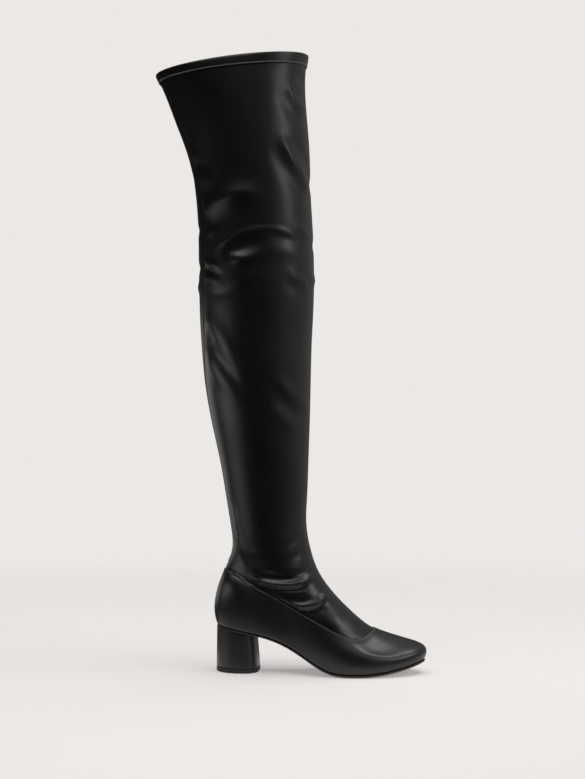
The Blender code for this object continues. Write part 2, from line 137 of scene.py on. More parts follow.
def round_edges(work, offset):
    """Rounds the sharp edges of a cage by an offset in millimetres."""
    sharp = [e for e in work.edges if e.is_manifold and e.calc_face_angle() > math.radians(SHARP_ANGLE)]
    bmesh.ops.bevel(
        work, geom=sharp, offset=offset * MM, segments=2, profile=0.5, affect="EDGES", material=-1
    )
    return work


def piece_from(work, name, replaced, materials):
    """Links a finished bmesh as a piece that rides on the boot."""
    piece = bpy.data.objects.new(name, mesh_from(work, name))
    piece.data.shade_smooth()
    for material in materials:
        piece.data.materials.append(material)
    bpy.context.scene.collection.objects.link(piece)
    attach(piece, "root")
    if replaced:
        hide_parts(replaced)
    print(name, len(piece.data.polygons), "faces")
    return piece


def surface_of(piece):
    """A search tree over a finished piece."""
    data = piece.data
    return BVHTree.FromPolygons([v.co for v in data.vertices], [p.vertices for p in data.polygons])


# %% [markdown]
# Colours are given as the hex values that a picture editor shows. Blender's shaders add and multiply light,
# so they need the same colours in linear values, and one function turns them. A material is a small tree of
# nodes. One helper adds a node with its settings and its incoming links, so a finish can be read from top
# to bottom.

# %% Colours and nodes
def srgb(code):
    """Linear colour of a hex value."""
    channels = [int(code[i : i + 2], 16) / 255 for i in (1, 3, 5)]
    linear = [c / 12.92 if c <= 0.04045 else ((c + 0.055) / 1.055) ** 2.4 for c in channels]
    return (*linear, 1)


def add(tree, kind, values=None, links=None, **settings):
    """Adds a node: settings are its own properties, values and links are for its sockets."""
    made = tree.nodes.new(kind)
    for name, value in settings.items():
        setattr(made, name, value)
    for socket, value in (values or {}).items():
        made.inputs[socket].default_value = value
    for socket, source in (links or {}).items():
        tree.links.new(source, made.inputs[socket])
    return made


def per_metre(size):
    """Pattern scale at which one cell of a pattern measures this many millimetres."""
    return 1 / (size * MM)


def new_finish(name):
    """An empty material and its tree, with an output node."""
    material = bpy.data.materials.new(name)
    material.use_nodes = True
    tree = material.node_tree
    tree.nodes.clear()
    return material, tree, tree.nodes.new("ShaderNodeOutputMaterial")


print("a cell of 1 mm has the pattern scale", round(per_metre(1)))

# %% [markdown]
# Leather is the boot. The foot and the heel cover are smooth calf, pulled tight over the last, and the
# shaft is a thinner stretch leather. Both are dyed black through, then sprayed with a thin clear top coat
# that gives a soft, wet looking gloss. Their grain is a net of fine pores and wrinkles under half a
# millimetre wide. It could be a scanned image, but three procedural layers do it: Voronoi cells for the
# pores, a noise for soft wrinkles, and a broad noise that changes gloss and tone a little, as hands and
# folding do.

# %% Leather finishes
CLOUD_SIZE = 38  # mm across one patch of the broad noise
GLOSS_VARIES = (-0.05, 0.06)  # added to the roughness from patch to patch
COAT_ROUGHNESS = 0.22


def leather(name, dark, light, roughness, grain, grain_depth, crease, crease_depth, coat):
    """Dyed leather with a clear top coat. Sizes are in millimetres."""
    material, tree, output = new_finish(name)
    place = add(tree, "ShaderNodeTexCoord").outputs["Object"]
    pores = add(
        tree, "ShaderNodeTexVoronoi", {"Scale": per_metre(grain), "Randomness": 1.0}, {"Vector": place},
        feature="SMOOTH_F1",
    )
    wrinkles = add(
        tree, "ShaderNodeTexNoise", {"Scale": per_metre(crease), "Detail": 3.0, "Roughness": 0.5},
        {"Vector": place},
    )
    clouds = add(
        tree, "ShaderNodeTexNoise", {"Scale": per_metre(CLOUD_SIZE), "Detail": 2.0, "Roughness": 0.55},
        {"Vector": place},
    )
    tone = add(
        tree, "ShaderNodeMix", {6: srgb(dark), 7: srgb(light)}, {0: clouds.outputs["Fac"]}, data_type="RGBA"
    )
    gloss = add(
        tree, "ShaderNodeMapRange",
        {"To Min": roughness + GLOSS_VARIES[0], "To Max": roughness + GLOSS_VARIES[1]},
        {"Value": clouds.outputs["Fac"]},
    )
    relief = add(
        tree, "ShaderNodeBump", {"Strength": 1.0, "Distance": crease_depth * MM},
        {"Height": wrinkles.outputs["Fac"]},
    )
    relief = add(
        tree, "ShaderNodeBump", {"Strength": 1.0, "Distance": grain_depth * MM},
        {"Height": pores.outputs["Distance"], "Normal": relief.outputs["Normal"]},
    )
    shader = add(
        tree, "ShaderNodeBsdfPrincipled",
        {"IOR": 1.5, "Coat Weight": coat, "Coat Roughness": COAT_ROUGHNESS, "Coat IOR": 1.45},
        {
            "Base Color": tone.outputs[2],
            "Roughness": gloss.outputs["Result"],
            "Normal": relief.outputs["Normal"],
        },
    )
    tree.links.new(shader.outputs["BSDF"], output.inputs["Surface"])
    return material


# Full grain calf, drum dyed and glazed: a close black with a soft even gloss. Its real grain of 0.3 mm is
# drawn at 0.8 mm, because a pixel of the picture covers 1.1 mm.
calf_leather = leather(
    "glazed_calf_leather", "#0E0E0F", "#151516",
    roughness=0.35, grain=0.8, grain_depth=0.03, crease=9, crease_depth=0.05, coat=0.25,
)
# Thin lambskin bonded to a stretch cloth: smoother and a little deeper in colour, with a satin gloss.
stretch_leather = leather(
    "bonded_stretch_leather", "#070708", "#0D0D0E",
    roughness=0.35, grain=0.7, grain_depth=0.02, crease=14, crease_depth=0.10, coat=0.25,
)
print("leathers:", calf_leather.name, stretch_leather.name)

# %% [markdown]
# The foot is cut like a high backed pump and stretched over the last, so its skin is smooth and has no
# folds. Its edge lies over the shaft as a thin skived line. The frame already has that line and the true
# last, so the finish needs only a finer skin, and two levels of subdivision give it.

# %% The foot
foot = piece_from(
    subdivided(cage_of("upper"), 2), "foot_skin", "upper", [calf_leather]
)
foot_surface = surface_of(foot)

# %% [markdown]
# Lining, thread, rubber and sole are duller than leather. On each of them one fine noise changes both the
# tone and the relief: fuzz, the twist of a thread, the stipple of a mould or the streaks of a buffing
# wheel. They could be four trees of nodes, but one function with their sizes and colours shows better how
# they differ.

# %% Dull finishes
WAVE_BAND = 2 * math.pi / 20  # a wave texture repeats once in this much of its scaled coordinate


def speckled(name, dark, light, size, detail, bump, depth, shader_values, stretch=None, rows=None):
    """A finish whose tone and relief follow one noise. Sizes, depth and the step of the rows are in mm."""
    material, tree, output = new_finish(name)
    place = add(tree, "ShaderNodeTexCoord").outputs["Object"]
    if stretch:
        place = add(tree, "ShaderNodeMapping", {"Scale": stretch}, {"Vector": place}).outputs["Vector"]
    speckle = add(
        tree, "ShaderNodeTexNoise", {"Scale": per_metre(size), "Detail": detail}, {"Vector": place}
    ).outputs["Fac"]
    tone = add(
        tree, "ShaderNodeMix", {6: srgb(dark), 7: srgb(light)}, {0: speckle}, data_type="RGBA"
    )
    height = speckle
    if rows:
        waves = add(
            tree, "ShaderNodeTexWave", {"Scale": WAVE_BAND * per_metre(rows), "Distortion": 0.6},
            {"Vector": place}, bands_direction="Z",
        )
        height = add(
            tree, "ShaderNodeMath", {}, {0: waves.outputs["Fac"], 1: speckle}, operation="ADD"
        ).outputs["Value"]
    relief = add(
        tree, "ShaderNodeBump", {"Strength": bump, "Distance": depth * MM}, {"Height": height}
    )
    shader = add(
        tree, "ShaderNodeBsdfPrincipled", shader_values,
        {"Base Color": tone.outputs[2], "Normal": relief.outputs["Normal"]},
    )
    tree.links.new(shader.outputs["BSDF"], output.inputs["Surface"])
    return material


# The brushed back of a stretch knit, a matt black that shows only inside the collar. The knit's own rows are
# about 0.4 mm apart, too fine for the picture, so broad soft ones stand for them.
lining = speckled(
    "brushed_stretch_lining", "#1A191A", "#272527", size=1.6, detail=3.0, bump=0.6, depth=0.15,
    shader_values={"Roughness": 0.85, "Sheen Weight": 0.25, "Sheen Roughness": 0.5}, rows=7.54,
)
print("lining:", lining.name)

# %% [markdown]
# A place on the shaft is easiest to name as a tailor would: a height above the floor, and how far round the
# leg. Angle 0 is the back, 90 the outer side and 180 the front. Rays from the leg's middle find the leather
# there. A fold that the picture shows from the side is named by how far forward and how high it lies, and a
# ray along the view finds the leather.

# %% Finding places on the shaft
shaft_cage = cage_of("shaft")
shaft_cage.normal_update()
rough_shaft = BVHTree.FromBMesh(shaft_cage)
LEG_MIDDLE = 20
OUTSIDE = 200  # far enough from the leg's middle to be outside it
BEYOND = 1.5  # times the leg's half width, where a ray towards the leg starts
BESIDE_MIDDLE = 2  # a place just inside the leg, for a fold's end that runs past the front or back


def leg_section(height):
    """Back, front and half width of the shaft at a height, in millimetres."""
    start = Vector((LEG_MIDDLE, 0, height)) * MM
    back = rough_shaft.ray_cast(start, Vector((-1, 0, 0)))[0].x / MM
    front = rough_shaft.ray_cast(start, Vector((1, 0, 0)))[0].x / MM
    middle = Vector(((back + front) / 2, 0, height)) * MM
    half = rough_shaft.ray_cast(middle, Vector((0, -1, 0)))[0].y / -MM
    return back, front, half


def round_the_leg(angle, height):
    """A point on the outer face of the shaft, in metres."""
    back, front, half = leg_section(height)
    turn = math.radians(angle)
    middle = Vector(((back + front) / 2, 0, height))
    reach = Vector(((back - front) / 2 * math.cos(turn), -half * math.sin(turn), 0))
    far = middle + reach * BEYOND
    return rough_shaft.ray_cast(far * MM, -reach)[0]


def on_the_side(forward_mm, height, side):
    """A point of the shaft seen from one side, -1 for the outer side and 1 for the inner."""
    start = Vector((forward_mm, side * OUTSIDE, height)) * MM
    hit = rough_shaft.ray_cast(start, Vector((0, -side, 0)))[0]
    return hit or rough_shaft.find_nearest(Vector((forward_mm, side * BESIDE_MIDDLE, height)) * MM)[0]


def curve_through(points, step=1.5):
    """Points every 1.5 mm or so of a smooth curve through a few places, laid on the shaft."""
    points = [2 * points[0] - points[1], *points, 2 * points[-1] - points[-2]]
    line = []
    for before, start, end, after in zip(points, points[1:], points[2:], points[3:]):
        count = max(2, round((end - start).length / (step * MM)))
        for index in range(count):
            t = index / count
            place = 0.5 * (
                2 * start + (end - before) * t + (2 * before - 5 * start + 4 * end - after) * t**2
                + (3 * start - before - 3 * end + after) * t**3
            )
            line.append(rough_shaft.find_nearest(place)[0])
    line.append(points[-2])
    return np.array(line)


print("shaft at the knee:", [round(v, 1) for v in leg_section(480)])

# %% [markdown]
# Worn stretch leather folds where the leg bends: one deep fold behind and over the knee, short ones that run
# out of the back seam, long slanting ones down the calf and a stack of rings round the ankle. Cloth
# simulation makes folds, but not these folds, so each is given as a soft line with a lift and a width. A
# ridge has a positive lift and a trough a negative one, and both fade at their ends.

# %% The folds of the outer side
OUTER_FOLDS = (
    # lift, width, fade in, fade out, places along the fold as forward and height
    # The knee
    (1.4, 2.4, 0.3, 0.3, ((-24, 466), (-14, 472), (2, 479), (18, 485), (37, 488), (57, 486), (74, 475))),
    (1.0, 4.0, 0.4, 0.1, ((66, 500), (74, 490), (81, 481), (86, 473))),
    (0.8, 4.0, 0.2, 0.6, ((-32, 484), (-24, 487), (-14, 487))),
    (-3.0, 7.5, 0.3, 0.5, ((-14, 462), (3, 468), (21, 473), (42, 478))),
    (-0.8, 8.0, 0.4, 0.3, ((30, 477), (48, 479), (63, 478), (78, 470))),
    (2.0, 4.8, 0.4, 0.6, ((-8, 460), (6, 456), (18, 456), (28, 459), (42, 464))),
    (0.5, 7.5, 0.5, 0.4, ((24, 459), (44, 464), (64, 464), (80, 460))),
    (-0.4, 9.0, 0.4, 0.4, ((-6, 446), (15, 445), (34, 450), (53, 451), (69, 449))),
    (1.3, 3.8, 0.1, 0.6, ((-33, 455), (-21, 450), (-8, 443))),
    (-1.0, 3.6, 0.1, 0.6, ((-33, 447), (-20, 442), (-6, 437))),
    (0.7, 4.2, 0.1, 0.6, ((-33, 440), (-21, 435), (-10, 428))),
    (-0.5, 4.2, 0.1, 0.6, ((-32, 420), (-13, 418), (4, 423), (21, 427), (40, 434), (58, 440))),
    (0.5, 6.0, 0.4, 0.5, ((-8, 428), (8, 432), (21, 436), (40, 443))),
    (0.9, 6.0, 0.6, 0.2, ((54, 448), (68, 437), (82, 428))),
    (-0.7, 6.0, 0.5, 0.2, ((52, 436), (66, 426), (80, 418))),
    # Above the knee
    (1.9, 9.5, 0.1, 0.5, ((-34, 509), (-16, 521), (6, 527), (26, 526), (44, 519))),
    (1.2, 8.5, 0.5, 0.4, ((-18, 517), (0, 524), (18, 527), (38, 522))),
    (-0.7, 8.0, 0.2, 0.5, ((-28, 490), (-6, 500), (14, 502), (30, 498))),
    (1.0, 5.0, 0.1, 0.6, ((-50, 576), (-40, 568), (-28, 563))),
    (1.4, 6.5, 0.1, 0.6, ((-39, 553), (-30, 544), (-16, 539))),
    (-0.8, 5.0, 0.1, 0.6, ((-44, 565), (-32, 558), (-20, 554))),
    # The front of the thigh
    (2.2, 4.6, 0.3, 0.3, ((59, 652), (64, 637), (70, 627), (77, 620))),
    (-1.0, 7.0, 0.3, 0.3, ((50, 645), (56, 630), (63, 617), (73, 608))),
    (2.8, 5.4, 0.3, 0.2, ((51, 596), (58, 578), (68, 560), (76, 545), (81, 532))),
    (-1.1, 8.0, 0.3, 0.3, ((42, 586), (52, 562), (64, 543), (75, 526))),
    (-1.3, 5.0, 0.3, 0.2, ((66, 594), (73, 577), (80, 560))),
    (-1.6, 6.0, 0.4, 0.4, ((66, 655), (72, 658), (75, 657))),
    (0.6, 16.0, 0.5, 0.5, ((0, 652), (34, 651), (68, 647))),
    # The calf
    (-1.8, 6.0, 0.1, 0.5, ((-31, 374), (-19, 354), (-2, 331), (16, 309))),
    (1.4, 7.5, 0.1, 0.5, ((-32, 395), (-17, 378), (-3, 357), (13, 337))),
    (1.4, 8.0, 0.1, 0.5, ((-31, 349), (-15, 328), (0, 312), (13, 295))),
    (1.5, 5.5, 0.4, 0.2, ((38, 334), (55, 318), (70, 303), (82, 291))),
    (-1.0, 7.0, 0.4, 0.2, ((32, 323), (50, 307), (67, 290), (80, 277))),
    (1.0, 7.0, 0.4, 0.3, ((33, 299), (52, 284), (72, 268))),
    # The ankle
    (0.3, 4.0, 0.3, 0.2, ((41, 147), (57, 150), (73, 162))),
    (-0.3, 4.0, 0.3, 0.2, ((38, 141), (56, 143), (75, 154))),
    (0.3, 4.0, 0.4, 0.4, ((13, 135), (25, 134), (38, 134))),
    (0.3, 4.0, 0.3, 0.2, ((41, 129), (56, 132), (73, 145))),
    (-0.3, 4.0, 0.3, 0.2, ((30, 126), (54, 126), (76, 138))),
    (0.3, 3.5, 0.4, 0.2, ((62, 124), (72, 126), (82, 131))),
    (0.5, 4.5, 0.3, 0.3, ((15, 121), (37, 119), (58, 117), (81, 123))),
    (-1.2, 4.0, 0.3, 0.2, ((17, 114), (36, 110), (60, 108), (88, 115))),
    (3.0, 3.2, 0.3, 0.4, ((12, 109), (26, 104), (42, 101), (58, 100), (72, 102), (92, 110))),
    (-1.6, 2.4, 0.3, 0.5, ((22, 100), (44, 95), (62, 94), (78, 96), (93, 101))),
    (3.0, 3.4, 0.25, 0.4, ((50, 85), (60, 80), (72, 77), (84, 78), (94, 82), (104, 91))),
    (-1.4, 4.4, 0.3, 0.3, ((62, 72), (76, 69), (92, 72), (105, 80))),
    (1.3, 3.6, 0.4, 0.3, ((-6, 200), (-1, 178), (4, 152), (11, 130), (17, 115))),
    (1.3, 8.0, 0.4, 0.4, ((94, 58), (108, 60), (122, 62))),
)
print(len(OUTER_FOLDS), "folds on the outer side")

# %% [markdown]
# Across its line a fold rises and falls like a bell, and along the line it eases in and out. The distance
# to the line is measured only for the leather near it, because that saves most of the work.

# %% The height of a fold
NEAR_A_FOLD = 3  # times a fold's width, past which it lifts nothing


def ease(share):
    """A soft step from 0 to 1."""
    share = np.clip(share, 0, 1)
    return share * share * (3 - 2 * share)


def fold_height(places, line, lift, width, fade_in, fade_out):
    """How far one fold lifts each place, in millimetres."""
    reach = NEAR_A_FOLD * width * MM
    near = np.all((places > line.min(0) - reach) & (places < line.max(0) + reach), axis=1)
    height = np.zeros(len(places))
    if not near.any():
        return height
    gaps = np.linalg.norm(places[near, None, :] - line[None, :, :], axis=2)
    share = gaps.argmin(axis=1) / (len(line) - 1)
    ends = ease(share / fade_in) * ease((1 - share) / fade_out)
    height[near] = lift * np.exp(-((gaps.min(axis=1) / (width * MM)) ** 2)) * ends
    return height


print("the middle of a soft step:", float(ease(0.5)))

# %% [markdown]
# The inner side isn't in the picture, but a fold goes round the leg, so the same kinds of fold lie there:
# the knee's deep fold and its neighbours, slanting ones on the calf and the ankle's rings. They are a
# shorter table with places of their own, so that the two sides aren't mirror images.

# %% The folds of the inner side
INNER_FOLDS = (
    # lift, width, fade in, fade out, places along the fold as forward and height
    (1.6, 4.8, 0.3, 0.3, ((-24, 466), (-4, 476), (18, 484), (42, 487), (64, 483), (82, 473))),
    (-3.0, 6.8, 0.3, 0.3, ((-20, 457), (0, 464), (22, 470), (46, 474), (66, 472), (80, 466))),
    (2.3, 5.4, 0.3, 0.4, ((-14, 452), (8, 455), (28, 459), (50, 463), (72, 460))),
    (-1.4, 6.0, 0.4, 0.4, ((-6, 443), (16, 445), (38, 449), (60, 450))),
    (1.2, 4.5, 0.3, 0.5, ((-34, 437), (-18, 431), (0, 428), (18, 430))),
    (-1.2, 4.5, 0.3, 0.5, ((-33, 427), (-16, 421), (4, 419), (24, 423))),
    (1.7, 8.0, 0.3, 0.4, ((-28, 500), (-8, 510), (14, 513), (36, 508))),
    (-1.3, 7.5, 0.3, 0.4, ((-22, 488), (0, 496), (24, 498), (46, 494))),
    (1.8, 5.5, 0.3, 0.3, ((52, 584), (60, 566), (70, 549), (79, 535))),
    (-1.4, 6.0, 0.3, 0.3, ((44, 580), (54, 558), (65, 540), (75, 524))),
    (1.3, 5.0, 0.3, 0.3, ((56, 646), (63, 630), (71, 618))),
    (-1.6, 5.5, 0.2, 0.5, ((-32, 368), (-18, 350), (0, 330), (18, 312))),
    (1.2, 6.5, 0.2, 0.5, ((-32, 384), (-16, 368), (2, 349), (20, 332))),
    (0.9, 6.0, 0.4, 0.3, ((38, 318), (56, 304), (72, 291), (80, 282))),
    (0.8, 4.0, 0.3, 0.3, ((30, 146), (52, 145), (72, 155))),
    (-0.8, 4.0, 0.3, 0.3, ((28, 139), (52, 138), (74, 148))),
    (0.9, 4.2, 0.3, 0.3, ((16, 131), (40, 129), (62, 130), (78, 138))),
    (-0.9, 4.0, 0.3, 0.3, ((18, 123), (44, 121), (66, 122), (82, 130))),
    (2.0, 4.0, 0.3, 0.3, ((20, 112), (42, 108), (64, 108), (86, 114))),
    (-1.4, 3.0, 0.3, 0.3, ((26, 105), (48, 101), (70, 101), (90, 106))),
    (1.6, 3.8, 0.3, 0.3, ((44, 92), (62, 89), (80, 90), (97, 98))),
    (-1.1, 3.8, 0.3, 0.3, ((56, 82), (72, 79), (90, 83), (102, 90))),
)
# The back of the knee and of the thigh crease right across, and so do the knee and the thigh in front.
ROUND_FOLDS = (
    # lift, width, fade in, fade out, places as angle round the leg and height
    (-1.8, 5.0, 0.3, 0.3, ((-50, 455), (-20, 449), (10, 449), (28, 455))),
    (1.6, 5.0, 0.3, 0.3, ((-50, 440), (-20, 432), (10, 427), (26, 424))),
    (-1.4, 5.0, 0.3, 0.3, ((-40, 494), (-15, 490), (12, 492), (24, 498))),
    (-1.5, 6.0, 0.3, 0.3, ((-30, 552), (-8, 548), (14, 549))),
    (1.3, 5.0, 0.3, 0.3, ((150, 446), (172, 436), (196, 438), (216, 446))),
    (-1.2, 6.0, 0.3, 0.3, ((155, 480), (180, 474), (208, 474))),
    (-1.4, 7.0, 0.3, 0.3, ((155, 558), (180, 543), (205, 538))),
)
print(len(INNER_FOLDS), "folds on the inner side and", len(ROUND_FOLDS), "round the leg")

# %% [markdown]
# Now the shaft itself. Two levels of subdivision give quads of about 2 by 4 mm. The outer face is split
# once more at knee and ankle, because the folds there are narrow. More levels all over would do it too,
# with four times the faces. Each point needs to know whether it is on the face or on the lining, and which
# way is out of the leg.

# %% The shaft
SHAFT_WALL = 1.2
FINE_ZONES = ((72, 175), (410, 530))  # heights of ankle and knee
LOWEST_SECTION, HIGHEST_SECTION = 118, 660  # heights between which a level cut crosses the whole leg

shaft_work = subdivided(shaft_cage.copy(), 2)


def wall_sides(places, normals):
    """For each place 1 on the outer face and -1 on the lining, where the normal points into the leg."""
    sides = []
    for place, normal in zip(places, normals):
        height = min(max(place[2] / MM, LOWEST_SECTION), HIGHEST_SECTION)
        back, front, _ = leg_section(round(height))
        middle = Vector(((back + front) / 2 * MM, 0, place[2]))
        sides.append(1 if (Vector(place) - middle).dot(Vector(normal)) > 0 else -1)
    return np.array(sides)


def read_points(work):
    """Places and normals of a bmesh's vertices, as arrays."""
    work.normal_update()
    work.verts.ensure_lookup_table()
    places = np.array([v.co for v in work.verts])
    normals = np.array([v.normal for v in work.verts])
    return places, normals


def is_fine(edge):
    """Whether an edge lies in a zone with narrow folds."""
    height = (edge.verts[0].co.z + edge.verts[1].co.z) / 2 / MM
    return any(low < height < high for low, high in FINE_ZONES)


places, normals = read_points(shaft_work)
sides = wall_sides(places, normals)
outer_vertices = {shaft_work.verts[i] for i in np.nonzero(sides > 0)[0]}
split = [e for e in shaft_work.edges if is_fine(e) and set(e.verts) <= outer_vertices]
bmesh.ops.subdivide_edges(shaft_work, edges=split, cuts=1, use_grid_fill=True)
print("shaft after the split:", len(shaft_work.faces), "faces")

# %% [markdown]
# The collar band holds the leather, so the folds have to know where the band begins. Its lower edge rises
# towards the front and dips a little at the side. It is measured on the frame: the lowest point of the
# band's outer face in each sector of 20 degrees round the leg gives its height there.

# %% The band's lower edge
BAND_SECTOR = math.radians(10)  # to each side of a sector's middle

band_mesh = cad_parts["collar_band"].data
band_points = np.array([v.co for v in band_mesh.vertices])
BAND_MIDDLE = band_points.mean(axis=0)
from_middle = band_points - BAND_MIDDLE
band_normals = np.array([v.normal for v in band_mesh.vertices])
on_outside = (from_middle[:, :2] * band_normals[:, :2]).sum(axis=1) > 0
band_bearings = np.arctan2(from_middle[:, 1], from_middle[:, 0])
edge_bearings = []
edge_heights = []
for middle in np.arange(-math.pi + BAND_SECTOR, math.pi, 2 * BAND_SECTOR):
    sector = np.flatnonzero(on_outside & (np.abs(band_bearings - middle) <= BAND_SECTOR))
    lowest = sector[band_points[sector, 2].argmin()]
    edge_bearings.append(band_bearings[lowest])
    edge_heights.append(band_points[lowest, 2])


def band_edge_at(bearing):
    """Height of the band's lower edge in the direction that a bearing round the leg gives."""
    return np.interp(bearing, edge_bearings, edge_heights, period=2 * math.pi)


print("band's lower edge:", round(min(edge_heights) / MM), "to", round(max(edge_heights) / MM), "mm up")

# %% [markdown]
# Each point now moves along the leather's own outward direction, and the lining moves with the face, so the
# wall keeps its thickness. The folds fade out towards the band and the foot, and beside the foot's edge the
# leather dips into a fine crease. A little noise keeps the reflections from being too even. A Displace
# modifier could move the points too, but it takes one texture, where this adds up a table of folds.

# %% Press the folds in
HELD_BY_FOOT = 5.0  # mm over which the folds fade out towards the foot
HELD_BY_BAND = 5.0
TIGHT_AT_FOOT = 1.0  # mm from the foot within which no fold starts
EDGE_DIP = 0.4  # depth of the crease beside the foot's edge
EDGE_DIP_WIDTH = 1.4
SWELL = 0.5  # lift of the noise
SWELL_SIZE = 55.0

places, normals = read_points(shaft_work)
sides = wall_sides(places, normals)
outward = normals * sides[:, None]
# A point of the lining gets the fold of the face one wall further out.
face_places = places + np.where(sides < 0, SHAFT_WALL * MM, 0)[:, None] * outward

place_bearings = np.arctan2(places[:, 1] - BAND_MIDDLE[1], places[:, 0] - BAND_MIDDLE[0])
below_band = band_edge_at(place_bearings) - places[:, 2]
from_foot = np.array([foot_surface.find_nearest(Vector(place))[3] for place in places])
hold = ease(below_band / (HELD_BY_BAND * MM)) * ease((from_foot / MM - TIGHT_AT_FOOT) / HELD_BY_FOOT)

lift = np.zeros(len(places))
for side, table in ((-1, OUTER_FOLDS), (1, INNER_FOLDS)):
    for height, width, fade_in, fade_out, stops in table:
        line = curve_through([on_the_side(x, z, side) for x, z in stops])
        lift += fold_height(face_places, line, height, width, fade_in, fade_out)
for height, width, fade_in, fade_out, stops in ROUND_FOLDS:
    line = curve_through([round_the_leg(angle, z) for angle, z in stops])
    lift += fold_height(face_places, line, height, width, fade_in, fade_out)
swell = np.array([noise.noise(Vector(place) / (SWELL_SIZE * MM)) for place in face_places])
lift += SWELL * swell
lift *= hold
lift -= EDGE_DIP * np.exp(-((from_foot / (EDGE_DIP_WIDTH * MM)) ** 2))
print("folds move the leather from", round(lift.min(), 1), "to", round(lift.max(), 1), "mm")

# %% [markdown]
# The back seam joins the shaft's two edges. On the stretched leg it wanders: it starts behind the heel and
# climbs to the outer side of the knee. The seam allowance pulls a shallow trough into the leather. With it
# the shaft is finished: every point moves by the sum of its folds, and the faces of the tube's inside get
# the lining.

# %% The back seam
BACK_SEAM = (
    # height, angle round the leg
    (656, 18), (636, 19), (591, 22), (551, 24), (512, 28), (468, 28), (424, 28), (380, 26),
    (347, 21), (313, 14), (280, 7), (240, 3), (180, 1), (122, 0),
)
SEAM_PULL = -0.6
SEAM_PULL_WIDTH = 2.4
SEAM_FADE = 0.02  # share of the seam's length

seam_line = curve_through([round_the_leg(angle, height) for height, angle in BACK_SEAM])
lift += hold * fold_height(face_places, seam_line, SEAM_PULL, SEAM_PULL_WIDTH, SEAM_FADE, SEAM_FADE)
for vertex, place, direction, height in zip(shaft_work.verts, places, outward, lift):
    vertex.co = Vector(place + direction * height * MM)
shaft_work.normal_update()
for face in shaft_work.faces:
    inner = sum(sides[v.index] for v in face.verts) < 0
    face.material_index = 1 if inner else 0
shaft = piece_from(shaft_work, "shaft_skin", "shaft", [stretch_leather, lining])
shaft_surface = surface_of(shaft)

# %% [markdown]
# The seam's two folded edges stand in its trough as thin lips. They are two cords laid side by side and
# sunk a little, which is quicker than cutting a groove and gives the same line of light and dark. A cord is
# a curve with a round bevel, turned to a mesh so that it can be welded shut.

# %% The lips of the back seam
LIP_RADIUS = 0.55
LIP_APART = 0.55
LIP_SUNK = 0.1


def laid_on(surface, place, sink):
    """The nearest place on a finished skin, sunk into it, and the direction out of it."""
    hit, normal, _, _ = surface.find_nearest(Vector(place))
    return hit - normal * sink * MM, normal


def cord(name, points, radius, material):
    """A thin cord along points in metres, with a radius in millimetres."""
    curve = bpy.data.curves.new(name, "CURVE")
    curve.dimensions = "3D"
    curve.bevel_depth = radius * MM
    curve.bevel_resolution = 2
    curve.use_fill_caps = True
    spline = curve.splines.new("POLY")
    spline.points.add(len(points) - 1)
    for target, place in zip(spline.points, points):
        target.co = (*place, 1)
    helper = bpy.data.objects.new(name, curve)
    bpy.context.scene.collection.objects.link(helper)
    data = bpy.data.meshes.new_from_object(helper.evaluated_get(bpy.context.evaluated_depsgraph_get()))
    bpy.data.objects.remove(helper)
    work = bmesh.new()
    work.from_mesh(data)
    bmesh.ops.remove_doubles(work, verts=work.verts, dist=WELD * MM)
    bmesh.ops.recalc_face_normals(work, faces=work.faces)
    return piece_from(work, name, None, [material])


seam_places = [laid_on(shaft_surface, place, LIP_SUNK) for place in seam_line]
for name, shift in (("back_seam_outer_lip", 1), ("back_seam_inner_lip", -1)):
    lip = []
    for index, (place, normal) in enumerate(seam_places):
        ahead = seam_places[min(index + 1, len(seam_places) - 1)][0]
        behind = seam_places[max(index - 1, 0)][0]
        across = normal.cross((ahead - behind).normalized())
        lip.append(place + across * shift * LIP_APART * MM)
    cord(name, lip, LIP_RADIUS, stretch_leather)

# %% [markdown]
# The collar band is the shaft's hem: a strip folded over the edge and sewn down along its lower side. The
# band keeps the frame's shape with a finer skin.

# %% The collar band
band = piece_from(
    subdivided(cage_of("collar_band"), 2), "collar_band_skin", "collar_band",
    [stretch_leather],
)
band_surface = surface_of(band)

# %% [markdown]
# A seam shows as a row of short grains of thread that lie on the leather and sink into it a little. Each
# stitch is a stretched icosphere of twenty faces, because hundreds of them have to stay light. A curve with
# an array could hold them too, but stepping along the path at an even pitch also turns each grain to the
# leather's own slope.

# %% Thread and rows of stitches
THREAD_SUNK = 0.3  # share of a grain's radius that lies in the leather

# Bonded polyester sewing thread, black, twisted and waxed. It is coloured light grey as a painted highlight,
# so that each stitch shows the small glint it catches on the leather.
thread = speckled(
    "polyester_thread_painted_highlight", "#77777A", "#A0A0A3", size=0.8, detail=2.0, bump=0.4, depth=0.05,
    shader_values={"Roughness": 0.45, "Sheen Weight": 0.3},
)


def sewn_row(name, slot, surface, path, pitch, length, radius, slant):
    """A row of stitches on a surface, along a closed path. Slant turns every other stitch to each side."""
    work = bmesh.new()
    path = [Vector(p) for p in path] + [Vector(path[0])]
    travelled = 0.0
    due = 0.0
    count = 0
    for start, end in zip(path, path[1:]):
        span = (end - start).length
        while due < travelled + span:
            place, normal = laid_on(surface, start.lerp(end, (due - travelled) / span), radius * THREAD_SUNK)
            ahead = (end - start).normalized()
            across = normal.cross(ahead).normalized()
            turn = math.radians(slant if count % 2 else -slant)
            along_stitch = ahead * math.cos(turn) + across * math.sin(turn)
            side_stitch = normal.cross(along_stitch).normalized()
            axes = Matrix((along_stitch, side_stitch, normal)).transposed().to_4x4()
            size = Matrix.Diagonal((length / 2 * MM, radius * MM, radius * MM, 1))
            bmesh.ops.create_icosphere(
                work, subdivisions=1, radius=1, matrix=Matrix.Translation(place) @ axes @ size
            )
            count += 1
            due += pitch * MM
        travelled += span
    print(name, count, "stitches")
    return piece_from(work, name, None, [thread])


